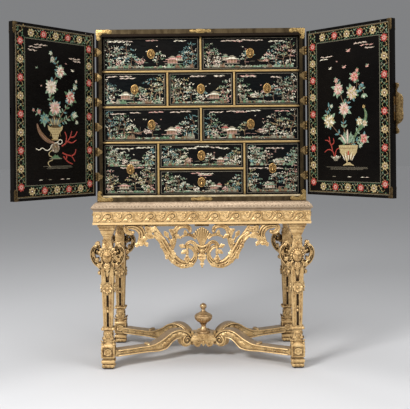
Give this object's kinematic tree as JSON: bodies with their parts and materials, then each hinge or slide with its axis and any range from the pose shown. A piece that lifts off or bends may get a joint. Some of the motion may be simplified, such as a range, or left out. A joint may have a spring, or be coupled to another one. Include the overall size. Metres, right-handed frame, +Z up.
{
  "type": "cabinet on stand",
  "caption": "Lacquer cabinet on a carved giltwood stand, with hinged doors, sliding drawers with drop pulls, and a bolt lock.",
  "frame": {"origin": "on the floor, under the middle of the stand and of the closed case", "axes": "+X to the right seen from the front, +Y to the back, +Z up; the doors and drawers face -Y"},
  "size_m": [1.6862, 1.0322, 1.626],
  "materials": {
    "black_lacquer": "gloss",
    "drawer_lacquer": "gloss",
    "carcase_wood": "satin",
    "giltwood": "worn gilt",
    "brass": "satin",
    "bolt_steel": "brushed"
  },
  "bodies": {
    "cabinet": {"case_top": "black_lacquer", "case_bottom": "black_lacquer", "case_left_side": "black_lacquer", "case_right_side": "black_lacquer", "case_back": "black_lacquer", "dust_boards": "carcase_wood", "dividers": "carcase_wood", "gilt_beads": "giltwood", "case_front_mounts": "brass", "case_hinges": "brass", "stand_top": "giltwood", "frieze_rails": "giltwood", "front_left_leg": "giltwood", "front_right_leg": "giltwood", "back_left_leg": "giltwood", "back_right_leg": "giltwood", "stand_feet": "giltwood", "front_apron": "giltwood", "stretcher_arms": "giltwood", "stretcher_platform": "giltwood", "urn_finial": "giltwood"},
    "left_leaf": {"left_door": "black_lacquer", "left_door_mounts": "brass"},
    "right_leaf": {"right_door": "black_lacquer", "right_door_mounts": "brass", "door_lock": "brass"},
    "bolt": {"lock_bolt": "bolt_steel"},
    "top_left_drawer_box": {"top_left_drawer": "drawer_lacquer", "top_left_drawer_plate": "brass"},
    "top_left_drawer_drop": {"top_left_drawer_pull": "brass"},
    "top_right_drawer_box": {"top_right_drawer": "drawer_lacquer", "top_right_drawer_plate": "brass"},
    "top_right_drawer_drop": {"top_right_drawer_pull": "brass"},
    "second_left_drawer_box": {"second_left_drawer": "drawer_lacquer", "second_left_drawer_plate": "brass"},
    "second_left_drawer_drop": {"second_left_drawer_pull": "brass"},
    "second_middle_drawer_box": {"second_middle_drawer": "drawer_lacquer", "second_middle_drawer_plate": "brass"},
    "second_middle_drawer_drop": {"second_middle_drawer_pull": "brass"},
    "second_right_drawer_box": {"second_right_drawer": "drawer_lacquer", "second_right_drawer_plate": "brass"},
    "second_right_drawer_drop": {"second_right_drawer_pull": "brass"},
    "third_left_drawer_box": {"third_left_drawer": "drawer_lacquer", "third_left_drawer_plate": "brass"},
    "third_left_drawer_drop": {"third_left_drawer_pull": "brass"},
    "third_right_drawer_box": {"third_right_drawer": "drawer_lacquer", "third_right_drawer_plate": "brass"},
    "third_right_drawer_drop": {"third_right_drawer_pull": "brass"},
    "bottom_left_drawer_box": {"bottom_left_drawer": "drawer_lacquer", "bottom_left_drawer_plate": "brass"},
    "bottom_left_drawer_drop": {"bottom_left_drawer_pull": "brass"},
    "bottom_upper_middle_drawer_box": {"bottom_upper_middle_drawer": "drawer_lacquer", "bottom_upper_middle_drawer_plate": "brass"},
    "bottom_upper_middle_drawer_drop": {"bottom_upper_middle_drawer_pull": "brass"},
    "bottom_lower_middle_drawer_box": {"bottom_lower_middle_drawer": "drawer_lacquer", "bottom_lower_middle_drawer_plate": "brass"},
    "bottom_lower_middle_drawer_drop": {"bottom_lower_middle_drawer_pull": "brass"},
    "bottom_right_drawer_box": {"bottom_right_drawer": "drawer_lacquer", "bottom_right_drawer_plate": "brass"},
    "bottom_right_drawer_drop": {"bottom_right_drawer_pull": "brass"}
  },
  "joints": [
    {"name": "left_door_hinge", "type": "hinge", "parent": "cabinet", "child": "left_leaf", "pos_m": [-0.5045, -0.2885, 1.2185], "axis": [0, 0, -1], "range_deg": [-126, 54]},
    {"name": "right_door_hinge", "type": "hinge", "parent": "cabinet", "child": "right_leaf", "pos_m": [0.5045, -0.2885, 1.2185], "axis": [0, 0, 1], "range_deg": [-130, 50]},
    {"name": "lock_bolt_slide", "type": "slide", "parent": "right_leaf", "child": "bolt", "axis": [0.6428, -0.766, 0], "range_m": [0, 0.012]},
    {"name": "top_left_drawer_slide", "type": "slide", "parent": "cabinet", "child": "top_left_drawer_box", "axis": [0, -1, 0], "range_m": [0, 0.32]},
    {"name": "top_left_drawer_pull_hinge", "type": "hinge", "parent": "top_left_drawer_box", "child": "top_left_drawer_drop", "pos_m": [-0.239, -0.2575, 1.5195], "axis": [-1, 0, 0], "range_deg": [0, 95]},
    {"name": "top_right_drawer_slide", "type": "slide", "parent": "cabinet", "child": "top_right_drawer_box", "axis": [0, -1, 0], "range_m": [0, 0.32]},
    {"name": "top_right_drawer_pull_hinge", "type": "hinge", "parent": "top_right_drawer_box", "child": "top_right_drawer_drop", "pos_m": [0.239, -0.2575, 1.5195], "axis": [-1, 0, 0], "range_deg": [0, 95]},
    {"name": "second_left_drawer_slide", "type": "slide", "parent": "cabinet", "child": "second_left_drawer_box", "axis": [0, -1, 0], "range_m": [0, 0.32]},
    {"name": "second_left_drawer_pull_hinge", "type": "hinge", "parent": "second_left_drawer_box", "child": "second_left_drawer_drop", "pos_m": [-0.3195, -0.2575, 1.3485], "axis": [-1, 0, 0], "range_deg": [0, 95]},
    {"name": "second_middle_drawer_slide", "type": "slide", "parent": "cabinet", "child": "second_middle_drawer_box", "axis": [0, -1, 0], "range_m": [0, 0.32]},
    {"name": "second_middle_drawer_pull_hinge", "type": "hinge", "parent": "second_middle_drawer_box", "child": "second_middle_drawer_drop", "pos_m": [0, -0.2575, 1.3485], "axis": [-1, 0, 0], "range_deg": [0, 95]},
    {"name": "second_right_drawer_slide", "type": "slide", "parent": "cabinet", "child": "second_right_drawer_box", "axis": [0, -1, 0], "range_m": [0, 0.32]},
    {"name": "second_right_drawer_pull_hinge", "type": "hinge", "parent": "second_right_drawer_box", "child": "second_right_drawer_drop", "pos_m": [0.3195, -0.2575, 1.3485], "axis": [-1, 0, 0], "range_deg": [0, 95]},
    {"name": "third_left_drawer_slide", "type": "slide", "parent": "cabinet", "child": "third_left_drawer_box", "axis": [0, -1, 0], "range_m": [0, 0.32]},
    {"name": "third_left_drawer_pull_hinge", "type": "hinge", "parent": "third_left_drawer_box", "child": "third_left_drawer_drop", "pos_m": [-0.239, -0.2575, 1.1775], "axis": [-1, 0, 0], "range_deg": [0, 95]},
    {"name": "third_right_drawer_slide", "type": "slide", "parent": "cabinet", "child": "third_right_drawer_box", "axis": [0, -1, 0], "range_m": [0, 0.32]},
    {"name": "third_right_drawer_pull_hinge", "type": "hinge", "parent": "third_right_drawer_box", "child": "third_right_drawer_drop", "pos_m": [0.239, -0.2575, 1.1775], "axis": [-1, 0, 0], "range_deg": [0, 95]},
    {"name": "bottom_left_drawer_slide", "type": "slide", "parent": "cabinet", "child": "bottom_left_drawer_box", "axis": [0, -1, 0], "range_m": [0, 0.32]},
    {"name": "bottom_left_drawer_pull_hinge", "type": "hinge", "parent": "bottom_left_drawer_box", "child": "bottom_left_drawer_drop", "pos_m": [-0.34275, -0.2575, 0.963], "axis": [-1, 0, 0], "range_deg": [0, 95]},
    {"name": "bottom_upper_middle_drawer_slide", "type": "slide", "parent": "cabinet", "child": "bottom_upper_middle_drawer_box", "axis": [0, -1, 0], "range_m": [0, 0.32]},
    {"name": "bottom_upper_middle_drawer_pull_hinge", "type": "hinge", "parent": "bottom_upper_middle_drawer_box", "child": "bottom_upper_middle_drawer_drop", "pos_m": [0, -0.2575, 1.0275], "axis": [-1, 0, 0], "range_deg": [0, 95]},
    {"name": "bottom_lower_middle_drawer_slide", "type": "slide", "parent": "cabinet", "child": "bottom_lower_middle_drawer_box", "axis": [0, -1, 0], "range_m": [0, 0.32]},
    {"name": "bottom_lower_middle_drawer_pull_hinge", "type": "hinge", "parent": "bottom_lower_middle_drawer_box", "child": "bottom_lower_middle_drawer_drop", "pos_m": [0, -0.2575, 0.8985], "axis": [-1, 0, 0], "range_deg": [0, 95]},
    {"name": "bottom_right_drawer_slide", "type": "slide", "parent": "cabinet", "child": "bottom_right_drawer_box", "axis": [0, -1, 0], "range_m": [0, 0.32]},
    {"name": "bottom_right_drawer_pull_hinge", "type": "hinge", "parent": "bottom_right_drawer_box", "child": "bottom_right_drawer_drop", "pos_m": [0.34275, -0.2575, 0.963], "axis": [-1, 0, 0], "range_deg": [0, 95]}
  ]
}
